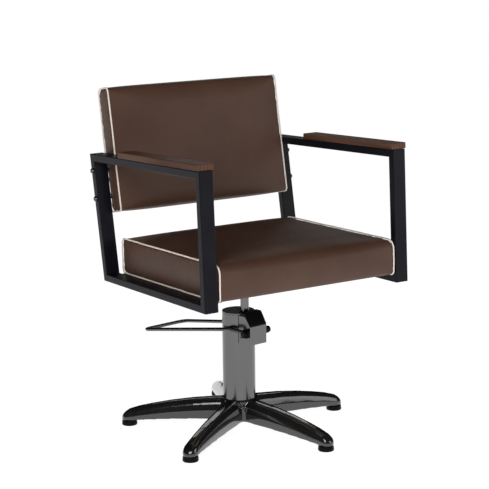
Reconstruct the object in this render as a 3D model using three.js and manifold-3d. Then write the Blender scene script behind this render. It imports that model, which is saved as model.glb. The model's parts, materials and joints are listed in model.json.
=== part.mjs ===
// Hydraulic styling chair: upholstered seat and back in two mitred-tube side frames, on a pump column
// with a five-leg star base. Millimetres, +Z up, front of the chair towards -Y.
import * as THREE from 'three';
import { mergeVertices } from 'three/addons/utils/BufferGeometryUtils.js';
import Module from 'manifold-3d';

const wasm = await Module();
wasm.setup();

// ---- Driving dimensions -------------------------------------------------------------------------
const GAP = 0.3; // clearance between touching pieces
const DEG = Math.PI / 180;

const CHAIR_WIDTH = 600; // over the side frames
const TUBE_WIDE = 38; // side tube, across the chair
const TUBE_THICK = 19; // side tube, in the plane of the frame
const TUBE_WALL = 1.5;

const SEAT_LEVEL = 404.5; // underside of the side frames above the floor, on the swivel axis
const SEAT_TILT = 1.2 * DEG; // the whole seat leans back by this much
const FRAME_FRONT = -294; // front lower corner, measured from the swivel axis
const FRAME_LENGTH = 493; // along the bottom tube
const FRAME_HEIGHT = 334; // at the front
const FRONT_LEAN = 1.6 * DEG;
const REAR_LEAN = 9.2 * DEG;
const ARM_DROP = 1.1 * DEG; // the top tube falls towards the back

const PAD_LENGTH = 382;
const PAD_WIDTH = 44;
const PAD_THICK = 16;

const SEAT_DEPTH = 469;
const SEAT_THICK = 91;
const PANEL_WIDTH = 520; // seat and back, over the piping
const BOARD_THICK = 12;
const BACK_HEIGHT = 318;
const BACK_THICK = 54;
const BACK_RISE = 179; // lower front edge of the back above the bottom tube's underside
const BACK_BOARD_THICK = 12;
const BACK_COVER_THICK = 2;
const PIPING_R = 2;
const RAIL_WIDE = 22; // flat seat rail along the inside of each bottom tube
const RAIL_THICK = 3;

const ROD_R = 11;
const ROD_TOP = 396;
const BARREL_R = 13.2; // guide tube around the rod
const SEAL_R = 13.7;
const HUB_DEPTH = 42; // the swivel hub's mouth below the bottom tubes' underside
const HUB_R = 23;
const BUSH_R = 13;
const PISTON_OFFSET = 25; // the rod stands in front of the column's centre
const PUMP_TURN = 8 * DEG; // the pump unit stands turned under the seat
const CASING_R = 42.5;
const CASING_WALL = 2;
const CASING_BOTTOM = 84.3;
const CASING_TOP = 312;

const NOSE_HALF = 27.7; // pump head casting in front of the column
const NOSE_FRONT = -52;
const NOSE_BOTTOM = 239;
const NOSE_BROW = 287; // where the sloping face starts
const NOSE_TOP_Y = -32.5; // where the sloping face ends
const COVER_REAR_Y = -14.2;
const COVER_THICK = 9;
const PEDAL_Y = -42; // pedal shaft, from the swivel axis
const PEDAL_Z = 270;
const PEDAL_SHAFT_R = 5;
const PEDAL_ROD_R = 5;
const EYE_R = 9.5;
const EYE_INNER_X = 29;
const EYE_OUTER_X = 41;
const TREADLE = [71, 337, 217]; // the far corner of the foot pedal

const LEGS = 5;
const LEG_REACH = 313; // column centre to leg end
const GLIDE_RADIUS = 292.9; // column centre to glide centre
const FIRST_LEG_ANGLE = -3.4 * DEG;
const GLIDE_R = 20.5;
const GLIDE_HEIGHT = 14;
const GLIDE_STEM_R = 5;
const GLIDE_STEM_TOP = 26;
const SPIGOT_R = 25; // tapered foot of the pump, in the hub
const LEG_WALL = 6;
const HUB_CASTING_R = 46;
const NUT_R = 35;

// ---- Materials ----------------------------------------------------------------------------------
const finish = (color, roughness, metalness) =>
  new THREE.MeshStandardMaterial({ color, roughness, metalness });
const LEATHER = finish(0x4b3a32, 0.5, 0);
const PIPING = finish(0xe8dccf, 0.5, 0);
const FRAME_PAINT = finish(0x24242c, 0.45, 0.4);
const WALNUT = finish(0x5f483c, 0.55, 0);
const PLYWOOD = finish(0xb89468, 0.8, 0);
const SATIN_METAL = finish(0x77777a, 0.3, 1);
const CHROME = finish(0xb4b4b8, 0.12, 1);
const BLACK_GLOSS = finish(0x161618, 0.18, 0.6);
const BLACK_PLASTIC = finish(0x101011, 0.5, 0);
const STEEL = finish(0x8c8c8e, 0.35, 1);
const BRONZE = finish(0x9a7440, 0.4, 1);

// ---- Geometry helpers ---------------------------------------------------------------------------
function toSolid(geometry) {
  const bare = geometry.index ? geometry.clone() : geometry;
  bare.deleteAttribute('normal');
  bare.deleteAttribute('uv');
  const merged = mergeVertices(bare, 1e-4);
  return new wasm.Manifold(new wasm.Mesh({
    numProp: 3,
    vertProperties: new Float32Array(merged.attributes.position.array),
    triVerts: new Uint32Array(merged.index.array),
  }));
}

function toGeometry(solid) {
  const { vertProperties, triVerts } = solid.getMesh();
  const geometry = new THREE.BufferGeometry();
  geometry.setAttribute('position', new THREE.BufferAttribute(new Float32Array(vertProperties), 3));
  geometry.setIndex(new THREE.BufferAttribute(new Uint32Array(triVerts), 1));
  geometry.computeVertexNormals();
  return geometry;
}

function carve(base, { add = [], cut = [] }) {
  let solid = toSolid(base);
  for (const geometry of add) solid = solid.add(toSolid(geometry));
  for (const geometry of cut) solid = solid.subtract(toSolid(geometry));
  return toGeometry(solid);
}

function box([x0, x1], [y0, y1], [z0, z1]) {
  return new THREE.BoxGeometry(x1 - x0, y1 - y0, z1 - z0)
    .translate((x0 + x1) / 2, (y0 + y1) / 2, (z0 + z1) / 2);
}

// A solid of revolution about +Z; the profile is a list of [radius, height].
function turned(profile, segments = 32) {
  const points = profile.map(([r, z]) => new THREE.Vector2(r, z));
  return new THREE.LatheGeometry(points, segments).rotateX(Math.PI / 2);
}

function disc(r, z0, z1, segments) {
  return turned([[0, z0], [r, z0], [r, z1], [0, z1]], segments);
}

function ring(rInner, rOuter, z0, z1, segments) {
  return turned([[rInner, z0], [rOuter, z0], [rOuter, z1], [rInner, z1], [rInner, z0]], segments);
}

// A rod of radius r along X.
function rodX(r, x0, x1, y, z, segments = 20) {
  return new THREE.CylinderGeometry(r, r, x1 - x0, segments)
    .rotateZ(-Math.PI / 2).translate((x0 + x1) / 2, y, z);
}

// A [y, z] outline drawn out along X.
function drawnX(outline, x0, x1) {
  const shape = new THREE.Shape(outline.map(([y, z]) => new THREE.Vector2(y, z)));
  const toRow = new THREE.Matrix4().makeBasis(
    new THREE.Vector3(0, 1, 0), new THREE.Vector3(0, 0, 1), new THREE.Vector3(1, 0, 0));
  return new THREE.ExtrudeGeometry(shape, { depth: x1 - x0, bevelEnabled: false })
    .applyMatrix4(toRow).translate(x0, 0, 0);
}

// A round bar along a curve.
function bar(curve, r, steps, sides = 8) {
  const section = new THREE.Shape();
  for (let i = 0; i < sides; i++) {
    const a = (i / sides) * 2 * Math.PI;
    const point = [r * Math.cos(a), r * Math.sin(a)];
    if (i === 0) section.moveTo(...point);
    else section.lineTo(...point);
  }
  return new THREE.ExtrudeGeometry(section, { steps, extrudePath: curve, bevelEnabled: false });
}

// Straight runs between the given corners, each corner rounded to radius r.
function roundedRun(corners, r, closed = false) {
  const path = new THREE.CurvePath();
  const count = corners.length;
  const joints = corners.map((corner, i) => {
    if (!closed && (i === 0 || i === count - 1)) return { from: corner, to: corner };
    const before = corners[(i + count - 1) % count].clone().sub(corner).normalize();
    const after = corners[(i + 1) % count].clone().sub(corner).normalize();
    const half = Math.acos(THREE.MathUtils.clamp(before.dot(after), -1, 1)) / 2;
    const back = r / Math.tan(half);
    return {
      from: corner.clone().addScaledVector(before, back),
      to: corner.clone().addScaledVector(after, back),
      bend: corner,
    };
  });
  for (let i = 0; i < count; i++) {
    const { from, to, bend } = joints[i];
    if (bend) path.add(new THREE.QuadraticBezierCurve3(from, bend, to));
    if (closed || i < count - 1) path.add(new THREE.LineCurve3(to, joints[(i + 1) % count].from));
  }
  return path;
}

// Straight lines and arcs keep only the points that they need.
class SparsePath extends THREE.Curve {
  constructor(path, bendSteps) {
    super();
    this.stops = [];
    for (const curve of path.curves) {
      const steps = curve.isLineCurve3 ? 1 : bendSteps;
      for (let i = 0; i < steps; i++) this.stops.push(curve.getPoint(i / steps));
    }
    this.stops.push(path.curves[path.curves.length - 1].getPoint(1));
    this.steps = this.stops.length - 1;
  }

  getPoint(t) {
    const at = THREE.MathUtils.clamp(t, 0, 1) * this.steps;
    const i = Math.min(Math.floor(at), this.steps - 1);
    return this.stops[i].clone().lerp(this.stops[i + 1], at - i);
  }

  getPointAt(t) {
    return this.getPoint(t);
  }

  getTangentAt(t) {
    const at = Math.round(t * this.steps);
    const first = this.stops[0];
    const last = this.stops[this.steps];
    const closed = first.distanceTo(last) < 1e-6;
    const before = this.stops[at - 1] ?? (closed ? this.stops[this.steps - 1] : first);
    const after = this.stops[at + 1] ?? (closed ? this.stops[1] : last);
    const here = this.stops[at];
    const into = here.clone().sub(before).normalize();
    const out = after.clone().sub(here).normalize();
    return into.add(out).normalize();
  }
}

// A skin over matching sections, closed at both ends.
function loft(sections) {
  const around = sections[0].length;
  const positions = sections.flat().flatMap((p) => p.toArray());
  const index = [];
  for (let s = 0; s + 1 < sections.length; s++) {
    for (let i = 0; i < around; i++) {
      const j = (i + 1) % around;
      const [a, b, c, d] = [s * around + i, s * around + j, (s + 1) * around + i, (s + 1) * around + j];
      index.push(a, b, d, a, d, c);
    }
  }
  const last = (sections.length - 1) * around;
  for (let i = 1; i + 1 < around; i++) {
    index.push(0, i + 1, i);
    index.push(last, last + i, last + i + 1);
  }
  const geometry = new THREE.BufferGeometry();
  geometry.setAttribute('position', new THREE.Float32BufferAttribute(positions, 3));
  geometry.setIndex(index);
  return geometry;
}

function piece(name, geometry, material, [x, y, z] = [0, 0, 0]) {
  const mesh = new THREE.Mesh(geometry, material);
  mesh.name = name;
  mesh.position.set(x, y, z);
  return mesh;
}

// ---- Star base ----------------------------------------------------------------------------------
// Height of a leg's crest, shoulder and underside at radius r from the column's centre.
const legCrest = (r) => 84 - 0.00046 * r * r - 6 * Math.max(0, (r - 270) / 43) ** 2;
const legShoulder = (r) => 52 - 0.00031 * r * r;
const legUnder = (r) => 28 - 0.000145 * r * r;

function legSolid(inset) {
  const tipCentre = LEG_REACH - GLIDE_R;
  const tipR = GLIDE_R - inset;
  const stations = [0, 60, 120, 180, 230, 265, tipCentre]
    .concat([30, 52, 70, 84].map((a) => tipCentre + tipR * Math.sin(a * DEG)));
  const sections = stations.map((r) => {
    const past = Math.max(0, r - tipCentre);
    const round = Math.sqrt(1 - (past / tipR) ** 2);
    const half = past > 0 ? tipR * round : 29 - 8.5 * (r / tipCentre) ** 0.8 - inset;
    const crest = legShoulder(r) + (legCrest(r) - legShoulder(r)) * round - inset;
    const shoulder = legShoulder(r) - inset * 0.6;
    const rib = half * 0.5;
    const under = inset > 0 ? legUnder(r) - 40 : legUnder(r);
    return [
      [-half, under], [half, under], [half, shoulder], [half * 0.82, shoulder + (crest - shoulder) * 0.6],
      [rib, crest - 1.5], [rib * 0.5, crest], [-rib * 0.5, crest], [-rib, crest - 1.5],
      [-half * 0.82, shoulder + (crest - shoulder) * 0.6], [-half, shoulder],
    ].map(([t, z]) => new THREE.Vector3(r, t, z));
  });
  return loft(sections);
}

function starBase() {
  const hub = disc(HUB_CASTING_R, legUnder(0), legCrest(0) - 0.5, 32);
  const legs = [];
  const hollows = [];
  for (let i = 0; i < LEGS; i++) {
    const angle = FIRST_LEG_ANGLE + (i * 2 * Math.PI) / LEGS;
    legs.push(legSolid(0).rotateZ(angle));
    const boss = disc(11, 0, 60, 10).translate(GLIDE_RADIUS, 0, 0);
    const bottomless = carve(legSolid(LEG_WALL), { cut: [disc(60, -50, 100, 20), boss] });
    hollows.push(bottomless.rotateZ(angle));
    const stemHole = disc(GLIDE_STEM_R + 2 * GAP, 0, GLIDE_STEM_TOP + GAP, 10);
    hollows.push(stemHole.translate(GLIDE_RADIUS, 0, 0).rotateZ(angle));
  }
  const socket = disc(SPIGOT_R + GAP, 0, 90, 40);
  return carve(hub, { add: legs, cut: [...hollows, socket, disc(NUT_R + 2, 0, 34, 32)] });
}

function footGlide() {
  return turned([
    [0, 0], [GLIDE_R - 4, 0], [GLIDE_R - 1, 1.5], [GLIDE_R, 4.5], [GLIDE_R, GLIDE_HEIGHT - 2],
    [GLIDE_R - 2, GLIDE_HEIGHT - GAP], [GLIDE_STEM_R, GLIDE_HEIGHT - GAP],
    [GLIDE_STEM_R, GLIDE_STEM_TOP], [0, GLIDE_STEM_TOP],
  ], 20);
}

function baseGroup() {
  const base = new THREE.Group();
  base.add(piece('star_base', starBase(), BLACK_GLOSS));
  for (let i = 0; i < LEGS; i++) {
    const angle = FIRST_LEG_ANGLE + (i * 2 * Math.PI) / LEGS;
    const at = [GLIDE_RADIUS * Math.cos(angle), GLIDE_RADIUS * Math.sin(angle), 0];
    base.add(piece(`foot_glide_${i + 1}`, footGlide(), BLACK_PLASTIC, at));
  }
  const nut = carve(disc(NUT_R, 25, 34 - GAP, 6), { cut: [disc(SPIGOT_R + GAP, 20, 40, 40)] });
  base.add(piece('base_nut', nut, STEEL));
  return base;
}

// ---- Pump unit ----------------------------------------------------------------------------------
// Drawn about the rod's axis; the column's centre lies behind it.
function pumpCasing() {
  const tube = ring(CASING_R - CASING_WALL, CASING_R, CASING_BOTTOM, CASING_TOP, 48)
    .translate(0, PISTON_OFFSET, 0);
  const slot = NOSE_HALF + 2 * GAP;
  return carve(tube, { cut: [box([-slot, slot], [-60, 10], [NOSE_BOTTOM - GAP, CASING_TOP + 1])] });
}

function casingCap() {
  const cap = disc(CASING_R, CASING_TOP + GAP, CASING_TOP + 3.5, 48).translate(0, PISTON_OFFSET, 0);
  const forSeal = disc(SEAL_R + GAP, CASING_TOP - 1, CASING_TOP + 5, 24);
  const slot = NOSE_HALF + 2 * GAP;
  return carve(cap, { cut: [forSeal, box([-slot, slot], [-60, COVER_REAR_Y + GAP], [300, 330])] });
}

const PLUNGER_Y = PEDAL_Y + 16;
const PLUNGER_R = 5;
const WELL_FLOOR = 245.2;
const PLUNGER_FOOT = 258;

function pumpHead() {
  const headTop = CASING_TOP - 1;
  const collarR = CASING_R - CASING_WALL - 2 * GAP;
  const collar = disc(collarR, 250, headTop, 40).translate(0, PISTON_OFFSET, 0);
  const nose = drawnX([
    [NOSE_FRONT, NOSE_BOTTOM], [10, NOSE_BOTTOM], [10, headTop], [NOSE_TOP_Y, headTop],
    [NOSE_FRONT, NOSE_BROW],
  ], -NOSE_HALF, NOSE_HALF);
  const shaftHole = rodX(PEDAL_SHAFT_R + GAP, -50, 50, PEDAL_Y, PEDAL_Z);
  const rockerSlot = box([-5.5, 5.5], [PEDAL_Y - 8.4, PLUNGER_Y + 6.5], [PEDAL_Z - 12, headTop + 1]);
  const plungerWell = disc(PLUNGER_R + GAP, WELL_FLOOR, PEDAL_Z, 16).translate(0, PLUNGER_Y, 0);
  const bore = disc(BARREL_R + GAP, 230, 320, 24);
  return carve(collar, { add: [nose], cut: [shaftHole, rockerSlot, plungerWell, bore] });
}

function headCover() {
  const under = CASING_TOP - 1 + GAP;
  return drawnX([
    [NOSE_FRONT - GAP, NOSE_BROW + 3.5], [NOSE_TOP_Y, under + COVER_THICK],
    [COVER_REAR_Y, under + COVER_THICK], [COVER_REAR_Y, under],
    [NOSE_TOP_Y - GAP, under], [NOSE_FRONT - GAP, NOSE_BROW + GAP],
  ], -NOSE_HALF - GAP, NOSE_HALF + GAP);
}

function pumpRocker() {
  const arm = drawnX([
    [PEDAL_Y, PEDAL_Z - 7.6], [PLUNGER_Y + 4, PEDAL_Z - 2.5], [PLUNGER_Y + 5, PEDAL_Z + 2],
    [PEDAL_Y, PEDAL_Z + 7.6],
  ], -5, 5);
  const eye = rodX(7.6, -5, 5, PEDAL_Y, PEDAL_Z, 16);
  return carve(eye, { add: [arm], cut: [rodX(PEDAL_SHAFT_R + GAP, -9, 9, PEDAL_Y, PEDAL_Z)] });
}

function pedalLoop() {
  const side = (sign) => [
    new THREE.Vector3(sign * 35, PEDAL_Y, PEDAL_Z),
    new THREE.Vector3(sign * 35.5, PEDAL_Y + 13, PEDAL_Z + 3),
    new THREE.Vector3(sign * 51, -2, PEDAL_Z + 8),
    new THREE.Vector3(sign * TREADLE[0], TREADLE[1], TREADLE[2]),
  ];
  const corners = [...side(-1), ...side(1).reverse()];
  const path = new SparsePath(roundedRun(corners, 22), 4);
  const eyes = [-1, 1].map((sign) => {
    const [x0, x1] = [sign * EYE_INNER_X, sign * EYE_OUTER_X].sort((a, b) => a - b);
    return rodX(EYE_R, x0, x1, PEDAL_Y, PEDAL_Z, 20);
  });
  const bore = rodX(PEDAL_SHAFT_R + GAP, -60, 60, PEDAL_Y, PEDAL_Z);
  return carve(bar(path, PEDAL_ROD_R, path.steps, 8), { add: eyes, cut: [bore] });
}

function pedalCap(sign) {
  const [x0, x1] = [sign * (EYE_OUTER_X + GAP), sign * (EYE_OUTER_X + 4)].sort((a, b) => a - b);
  return rodX(EYE_R - 1, x0, x1, PEDAL_Y, PEDAL_Z, 16);
}

function spring(r, wireR, z0, z1, turns) {
  class Helix extends THREE.Curve {
    getPoint(t) {
      const a = t * turns * 2 * Math.PI;
      return new THREE.Vector3(r * Math.cos(a), r * Math.sin(a), z0 + (z1 - z0) * t);
    }
  }
  return bar(new Helix(), wireR, turns * 9, 5);
}

function pumpGroup() {
  const pump = new THREE.Group();
  const tankFloor = 90;
  const tankTop = NOSE_BOTTOM - 1;
  const tankR = CASING_R - CASING_WALL - GAP;
  const tank = turned([
    [0, 22], [SPIGOT_R, 22], [SPIGOT_R, CASING_BOTTOM - GAP], [tankR, CASING_BOTTOM - GAP],
    [tankR, tankTop], [tankR - 1.1, tankTop], [tankR - 1.1, tankFloor], [0, tankFloor],
  ], 40).translate(0, PISTON_OFFSET, 0);
  pump.add(piece('pump_casing', pumpCasing(), SATIN_METAL));
  pump.add(piece('casing_cap', casingCap(), SATIN_METAL));
  pump.add(piece('oil_tank', tank, STEEL));
  pump.add(piece('pump_head', pumpHead(), SATIN_METAL));
  pump.add(piece('head_cover', headCover(), BLACK_PLASTIC));
  pump.add(piece('rod_barrel', ring(ROD_R + GAP, BARREL_R, tankFloor + GAP, CASING_TOP - 1, 24), STEEL));
  const seal = ring(ROD_R + GAP, SEAL_R, CASING_TOP - 1 + GAP, CASING_TOP + 5, 24);
  pump.add(piece('rod_seal', seal, BLACK_PLASTIC));
  const shaft = rodX(PEDAL_SHAFT_R, -EYE_OUTER_X, EYE_OUTER_X, PEDAL_Y, PEDAL_Z);
  pump.add(piece('pedal_shaft', shaft, STEEL));
  pump.add(piece('pedal_loop', pedalLoop(), BLACK_GLOSS));
  pump.add(piece('pedal_cap_left', pedalCap(1), BLACK_PLASTIC));
  pump.add(piece('pedal_cap_right', pedalCap(-1), BLACK_PLASTIC));
  pump.add(piece('pump_rocker', pumpRocker(), STEEL));
  pump.add(piece('pump_plunger', disc(PLUNGER_R, PLUNGER_FOOT, PEDAL_Z - 5.6, 16), STEEL, [0, PLUNGER_Y, 0]));
  const coil = spring(3.6, 0.8, WELL_FLOOR + GAP + 0.8, PLUNGER_FOOT - GAP - 0.8, 3);
  pump.add(piece('plunger_spring', coil, STEEL, [0, PLUNGER_Y, 0]));
  return pump;
}

// ---- Lift rod and swivel ------------------------------------------------------------------------
function pistonRod() {
  return turned([
    [0, 95], [ROD_R - 1, 95], [ROD_R, 96], [ROD_R, ROD_TOP - 2], [ROD_R - 2, ROD_TOP], [0, ROD_TOP],
  ], 24);
}

// ---- Seat assembly: drawn level, from the bottom tubes' underside on the swivel axis ------------
const REAR_X = CHAIR_WIDTH / 2;
const INNER_X = REAR_X - TUBE_WIDE;
const along = (from, angle, distance) =>
  [from[0] + distance * Math.cos(angle), from[1] + distance * Math.sin(angle)];

const frontBottom = [FRAME_FRONT, 0];
const frontTop = [FRAME_FRONT + FRAME_HEIGHT * Math.tan(FRONT_LEAN), FRAME_HEIGHT];
const rearBottom = [FRAME_FRONT + FRAME_LENGTH, 0];
const rearTop = meet(frontTop, -ARM_DROP, rearBottom, Math.PI / 2 - REAR_LEAN);
const loopOutline = [frontBottom, rearBottom, rearTop, frontTop];

// Where a line from p at angle a meets a line from q at angle b.
function meet(p, a, q, b) {
  const d = Math.cos(a) * Math.sin(b) - Math.sin(a) * Math.cos(b);
  const t = ((q[0] - p[0]) * Math.sin(b) - (q[1] - p[1]) * Math.cos(b)) / d;
  return [p[0] + t * Math.cos(a), p[1] + t * Math.sin(a)];
}

// The frame's outline moved in by a distance: each side is shifted and met with its neighbours.
function movedIn(outline, distance) {
  const sides = outline.map((p, i) => {
    const q = outline[(i + 1) % outline.length];
    const angle = Math.atan2(q[1] - p[1], q[0] - p[0]);
    return { from: along(p, angle + Math.PI / 2, distance), angle };
  });
  return sides.map(({ from, angle }, i) => {
    const before = sides[(i + sides.length - 1) % sides.length];
    return meet(before.from, before.angle, from, angle);
  });
}

// One mitred tube of the loop: side i runs from corner i to corner i + 1.
function mitredTube(i, x0, x1, holes) {
  const outer = loopOutline;
  const inner = movedIn(outer, TUBE_THICK);
  const j = (i + 1) % 4;
  const angle = Math.atan2(outer[j][1] - outer[i][1], outer[j][0] - outer[i][0]);
  const mitreGap = (corner, inward, sign) => [
    along(corner, angle, (sign * GAP) / 2), along(inward, angle, (sign * GAP) / 2)];
  const [a, d] = mitreGap(outer[i], inner[i], 1);
  const [b, c] = mitreGap(outer[j], inner[j], -1);
  const wallOuter = along(outer[i], angle + Math.PI / 2, TUBE_WALL);
  const wallInner = along(outer[i], angle + Math.PI / 2, TUBE_THICK - TUBE_WALL);
  const run = 700;
  const cavity = [
    along(wallOuter, angle, -run), along(wallOuter, angle, run),
    along(wallInner, angle, run), along(wallInner, angle, -run),
  ];
  const hollow = drawnX(cavity, x0 + TUBE_WALL, x1 - TUBE_WALL);
  return carve(drawnX([a, b, c, d], x0, x1), { cut: [hollow, ...holes] });
}

// Turns a piece drawn along Z so that it stands square to the top tube.
const onArm = (geometry, distance) => {
  const [y, z] = along(frontTop, -ARM_DROP, distance);
  return geometry.rotateX(-ARM_DROP).translate(0, y, z);
};

const BACK_BOLTS = [210, 281]; // heights of the back's bolts above the bottom tube's underside
const BOLT_R = 3;
const PAD_SCREWS = [95, 235]; // from the pad's front edge
const SCREW_R = 2.2;
const rearMid = (height) => {
  const back = TUBE_THICK / 2 / Math.cos(REAR_LEAN);
  return [rearBottom[0] + height * Math.tan(REAR_LEAN) - back, height];
};

function sideFrame(group, side, sign) {
  const [x0, x1] = [sign * INNER_X, sign * REAR_X].sort((a, b) => a - b);
  const boltHoles = BACK_BOLTS.map((h) => rodX(BOLT_R + GAP, x0 - 5, x1 + 5, ...rearMid(h), 12));
  const screwHoles = PAD_SCREWS.map((d) =>
    onArm(disc(SCREW_R + GAP, -30, 30, 12).translate(sign * (INNER_X + REAR_X) / 2, 0, 0), d));
  const names = ['bottom_tube', 'rear_tube', 'arm_tube', 'front_tube'];
  const holes = [[], boltHoles, screwHoles, []];
  names.forEach((name, i) => {
    group.add(piece(`${name}_${side}`, mitredTube(i, x0, x1, holes[i]), FRAME_PAINT));
  });
}

function armrest(group, side, sign) {
  const middle = sign * (INNER_X + REAR_X) / 2;
  const half = PAD_WIDTH / 2;
  const board = box([middle - half, middle + half], [0.5, PAD_LENGTH], [GAP, PAD_THICK]);
  const pilots = PAD_SCREWS.map((d) => disc(SCREW_R + GAP, -5, 12, 12).translate(middle, d, 0));
  group.add(piece(`armrest_pad_${side}`, onArm(carve(board, { cut: pilots }), 0), WALNUT));
  PAD_SCREWS.forEach((d, i) => {
    const under = -TUBE_THICK - GAP;
    const screw = turned([
      [0, under - 2.6], [2.8, under - 2.6], [4.4, under - 1], [4.4, under], [SCREW_R, under],
      [SCREW_R, 11], [0, 11],
    ], 12).translate(middle, 0, 0);
    group.add(piece(`pad_screw_${side}_${i + 1}`, onArm(screw, d), STEEL));
  });
}

function backBolts(group, side, sign) {
  BACK_BOLTS.forEach((height, i) => {
    const [y, z] = rearMid(height);
    const face = REAR_X + GAP;
    const bolt = turned([
      [0, 232], [BOLT_R, 232], [BOLT_R, face], [7, face], [7, face + 2.5], [5.5, face + 5.5],
      [3, face + 6.5], [0, face + 6.5],
    ], 16).rotateY((sign * Math.PI) / 2).translate(0, y, z);
    group.add(piece(`back_bolt_${side}_${i + 1}`, bolt, BLACK_GLOSS));
  });
}

const CROSS_BARS = { front: -150, rear: 75 }; // centre of each bar from the swivel axis
const SEAT_SCREW_X = 180;

function crossBar(y) {
  const reach = INNER_X - RAIL_WIDE - 2 * GAP;
  const [y0, y1] = [y - TUBE_WIDE / 2, y + TUBE_WIDE / 2];
  const outer = box([-reach, reach], [y0, y1], [0, TUBE_THICK]);
  const inner = box([-300, 300], [y0 + TUBE_WALL, y1 - TUBE_WALL], [TUBE_WALL, TUBE_THICK - TUBE_WALL]);
  const holes = [-1, 1].map((s) => disc(SCREW_R + GAP, -5, 30, 12).translate(s * SEAT_SCREW_X, y, 0));
  return carve(outer, { cut: [inner, ...holes] });
}

// A flat bar welded along the inside of the bottom tube; the seat's edge stands on it.
function seatRail(sign) {
  const [front, rear] = [FRAME_FRONT + TUBE_THICK + 4, FRAME_FRONT + SEAT_DEPTH - 6];
  const [x0, x1] = [sign * (INNER_X - RAIL_WIDE - GAP), sign * (INNER_X - GAP)].sort((a, b) => a - b);
  return box([x0, x1], [front, rear], [TUBE_THICK - RAIL_THICK, TUBE_THICK]);
}

function seatPlate() {
  const plate = box([-90, 90], [-172, 97], [-6, -GAP]);
  const hub = disc(HUB_R, -HUB_DEPTH, -2, 32).rotateX(SEAT_TILT);
  const bore = disc(BUSH_R + GAP, -HUB_DEPTH - 4, ROD_TOP - SEAT_LEVEL + 3 * GAP, 24).rotateX(SEAT_TILT);
  return carve(plate, { add: [hub], cut: [bore] });
}

const SEAT_BOTTOM = TUBE_THICK + 2 * GAP;
const BLOCK_HALF = PANEL_WIDTH / 2 - 2 * PIPING_R - GAP;

function pipingLoop(outline, r, x) {
  const corners = outline.map(([y, z]) => new THREE.Vector3(x, y, z));
  const path = new SparsePath(roundedRun(corners, r, true), 3);
  return bar(path, PIPING_R, path.steps, 6);
}

function seatPad(group) {
  const [front, rear] = [FRAME_FRONT + 1, FRAME_FRONT + 1 + SEAT_DEPTH];
  const top = SEAT_BOTTOM + SEAT_THICK;
  const split = SEAT_BOTTOM + BOARD_THICK;
  const board = box([-BLOCK_HALF, BLOCK_HALF], [front, rear], [SEAT_BOTTOM, split]);
  const pilots = Object.values(CROSS_BARS).flatMap((y) => [-1, 1].map((s) =>
    disc(SCREW_R + GAP, 0, split - 2, 12).translate(s * SEAT_SCREW_X, y, 0)));
  group.add(piece('seat_board', carve(board, { cut: pilots }), PLYWOOD));
  const edge = 12;
  const block = drawnX([
    [front, split + GAP], [rear, split + GAP], [rear, top - edge], [rear - edge, top],
    [front + 2 * edge, top], [front + edge * 0.6, top - edge * 0.6], [front, top - 2 * edge],
  ], -BLOCK_HALF, BLOCK_HALF);
  group.add(piece('seat_cushion', block, LEATHER));
  const inset = PIPING_R;
  const outline = [
    [front + inset, SEAT_BOTTOM + inset], [rear - inset, SEAT_BOTTOM + inset],
    [rear - inset, top - inset], [front + inset, top - inset],
  ];
  for (const [side, sign] of [['left', 1], ['right', -1]]) {
    const x = sign * (BLOCK_HALF + GAP + PIPING_R);
    group.add(piece(`seat_piping_${side}`, pipingLoop(outline, 16, x), PIPING));
    group.add(piece(`seat_rail_${side}`, seatRail(sign), FRAME_PAINT));
  }
  for (const [place, y] of Object.entries(CROSS_BARS)) {
    group.add(piece(`cross_bar_${place}`, crossBar(y), FRAME_PAINT));
    [['left', 1], ['right', -1]].forEach(([side, sign]) => {
      const screw = turned([
        [0, -3], [2.8, -3], [4.4, -1.2], [4.4, -GAP], [SCREW_R, -GAP], [SCREW_R, split - 3], [0, split - 3],
      ], 12);
      group.add(piece(`seat_screw_${place}_${side}`, screw, STEEL, [sign * SEAT_SCREW_X, y, 0]));
    });
  }
}

// The back is drawn upright from its lower front edge, then leaned with the rear tubes.
function backPad(group) {
  const lean = (geometry) => geometry.rotateX(-REAR_LEAN).translate(0, backFoot[0], backFoot[1]);
  const boardFront = BACK_THICK - BACK_COVER_THICK - BACK_BOARD_THICK;
  const boardRear = BACK_THICK - BACK_COVER_THICK;
  const edge = 12;
  const foam = drawnX([
    [edge, 0], [boardFront - GAP, 0], [boardFront - GAP, BACK_HEIGHT], [edge, BACK_HEIGHT],
    [0, BACK_HEIGHT - edge], [0, edge],
  ], -BLOCK_HALF, BLOCK_HALF);
  const halfBoard = BLOCK_HALF - 1;
  const board = lean(box([-halfBoard, halfBoard], [boardFront, boardRear - GAP], [1, BACK_HEIGHT - 1]));
  const pilots = BACK_BOLTS.flatMap((h) =>
    [[-halfBoard - 5, -228], [228, halfBoard + 5]].map(([x0, x1]) =>
      rodX(BOLT_R + GAP, x0, x1, ...rearMid(h), 12)));
  const cover = box([-BLOCK_HALF, BLOCK_HALF], [boardRear, BACK_THICK], [0, BACK_HEIGHT]);
  group.add(piece('back_cushion', lean(foam), LEATHER));
  group.add(piece('back_board', carve(board, { cut: pilots }), PLYWOOD));
  group.add(piece('back_cover', lean(cover), LEATHER));
  const inset = PIPING_R;
  const outline = [
    [inset, inset], [BACK_THICK - inset, inset],
    [BACK_THICK - inset, BACK_HEIGHT - inset], [inset, BACK_HEIGHT - inset],
  ];
  for (const [side, sign] of [['left', 1], ['right', -1]]) {
    const x = sign * (BLOCK_HALF + GAP + PIPING_R);
    group.add(piece(`back_piping_${side}`, lean(pipingLoop(outline, 14, x)), PIPING));
  }
}

// Lower front edge of the back: its board's middle lies on the rear tubes' middle line.
const boardMiddle = BACK_THICK - BACK_COVER_THICK - BACK_BOARD_THICK / 2;
const backFoot = [rearMid(BACK_RISE)[0] - boardMiddle / Math.cos(REAR_LEAN), BACK_RISE];

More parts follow.
